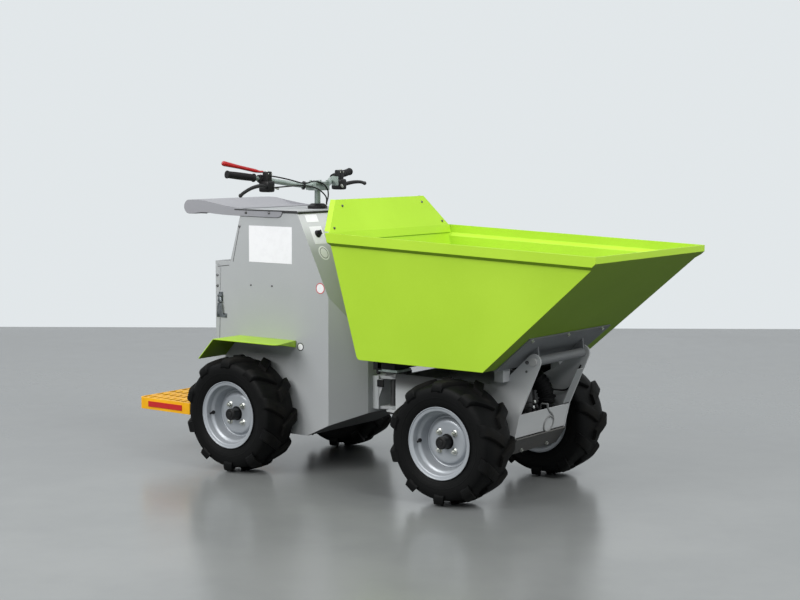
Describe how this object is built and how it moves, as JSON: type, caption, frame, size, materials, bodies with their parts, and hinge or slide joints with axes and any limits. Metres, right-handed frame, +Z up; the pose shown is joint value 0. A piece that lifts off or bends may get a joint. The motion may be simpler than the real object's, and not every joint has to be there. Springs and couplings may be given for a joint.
{
  "type": "articulated electric site dumper",
  "caption": "Articulated walk-behind electric site dumper: handlebars over a sheet-metal battery body, lugged tyres, and a skip on the front frame that tips forward.",
  "frame": {"origin": "on the ground, under the middle of the machine's box", "axes": "+X forward to the skip, +Y to the machine's left, +Z up"},
  "size_m": [2.387, 0.906, 1.3075],
  "materials": {
    "lime_paint": "satin",
    "grey_paint": "satin",
    "silver_paint": "satin",
    "tyre": "matte",
    "rubber": "matte",
    "black_plastic": "matte",
    "black_steel": "satin",
    "bright_steel": "bright zinc",
    "cast_housing": "painted casting",
    "yellow_plastic": "moulded",
    "red_plastic": "glossy"
  },
  "bodies": {
    "rear_half": {"rear_body": "grey_paint", "top_plate": "grey_paint", "rear_shelf": "grey_paint", "fender_right": "lime_paint", "fender_left": "lime_paint", "battery": "black_plastic", "rear_axle": "cast_housing", "step_tread": "yellow_plastic", "step_bracket": "black_steel", "reflector_right": "red_plastic", "reflector_left": "red_plastic", "steering_flange": "black_plastic", "rear_hitch": "grey_paint", "hitch_pin": "bright_steel"},
    "door": {"rear_door": "grey_paint"},
    "handlebars": {"handlebar": "bright_steel", "grip_right": "rubber", "grip_left": "rubber", "brake_lever_right": "black_plastic", "brake_lever_left": "black_plastic", "drive_lever": "red_plastic", "cable_upper": "black_plastic", "cable_lower": "black_plastic"},
    "front_half": {"front_frame": "grey_paint", "front_axle": "cast_housing", "front_skid": "black_steel", "rest_bar": "rubber", "rest_pad_right": "rubber", "rest_pad_left": "rubber", "pivot_pin": "bright_steel"},
    "tipping_skip": {"skip": "lime_paint", "splash_guard": "lime_paint", "hinge_plate": "grey_paint"},
    "actuator_body": {"actuator_barrel": "black_steel"},
    "actuator_ram": {"actuator_rod": "bright_steel"},
    "wheel_rear_right": {"rim_rear_right": "silver_paint", "tyre_rear_right": "tyre", "hub_rear_right": "black_steel"},
    "wheel_rear_left": {"rim_rear_left": "silver_paint", "tyre_rear_left": "tyre", "hub_rear_left": "black_steel"},
    "wheel_front_right": {"rim_front_right": "silver_paint", "tyre_front_right": "tyre", "hub_front_right": "black_steel"},
    "wheel_front_left": {"rim_front_left": "silver_paint", "tyre_front_left": "tyre", "hub_front_left": "black_steel"}
  },
  "joints": [
    {"name": "articulation", "type": "hinge", "parent": "rear_half", "child": "front_half", "pos_m": [-0.0135, 0, 0.27], "axis": [0, 0, 1], "range_deg": [-30, 30]},
    {"name": "handlebar_turn", "type": "hinge", "parent": "rear_half", "child": "handlebars", "pos_m": [-0.4245, 0, 1.201], "axis": [0, 0, 1], "range_deg": [-30, 30]},
    {"name": "skip_tip", "type": "hinge", "parent": "front_half", "child": "tipping_skip", "pos_m": [0.7925, 0, 0.554], "axis": [0, 1, 0], "range_deg": [0, 75]},
    {"name": "actuator_swing", "type": "hinge", "parent": "front_half", "child": "actuator_body", "pos_m": [0.6585, 0, 0.225], "axis": [0, 1, 0], "range_deg": [0, 10.1]},
    {"name": "actuator_stroke", "type": "slide", "parent": "actuator_body", "child": "actuator_ram", "axis": [-0.0995, 0, 0.995], "range_m": [0, 0.2]},
    {"name": "door_hinge", "type": "hinge", "parent": "rear_half", "child": "door", "pos_m": [-0.7785, 0.2475, 0.315], "axis": [0, 0, -1], "range_deg": [0, 90]},
    {"name": "wheel_spin_rear_right", "type": "hinge", "parent": "rear_half", "child": "wheel_rear_right", "pos_m": [-0.5535, -0.356, 0.245], "axis": [0, 1, 0], "continuous": true},
    {"name": "wheel_spin_rear_left", "type": "hinge", "parent": "rear_half", "child": "wheel_rear_left", "pos_m": [-0.5535, 0.356, 0.245], "axis": [0, 1, 0], "continuous": true},
    {"name": "wheel_spin_front_right", "type": "hinge", "parent": "front_half", "child": "wheel_front_right", "pos_m": [0.5265, -0.356, 0.245], "axis": [0, 1, 0], "continuous": true},
    {"name": "wheel_spin_front_left", "type": "hinge", "parent": "front_half", "child": "wheel_front_left", "pos_m": [0.5265, 0.356, 0.245], "axis": [0, 1, 0], "continuous": true}
  ],
  "couplings": [
    {"joint": "handlebar_turn", "follows": "articulation", "ratio": 1},
    {"joint": "actuator_swing", "follows": "skip_tip", "ratio": 0.13356},
    {"joint": "actuator_stroke", "follows": "skip_tip", "m_per_rad": 0.1522}
  ]
}
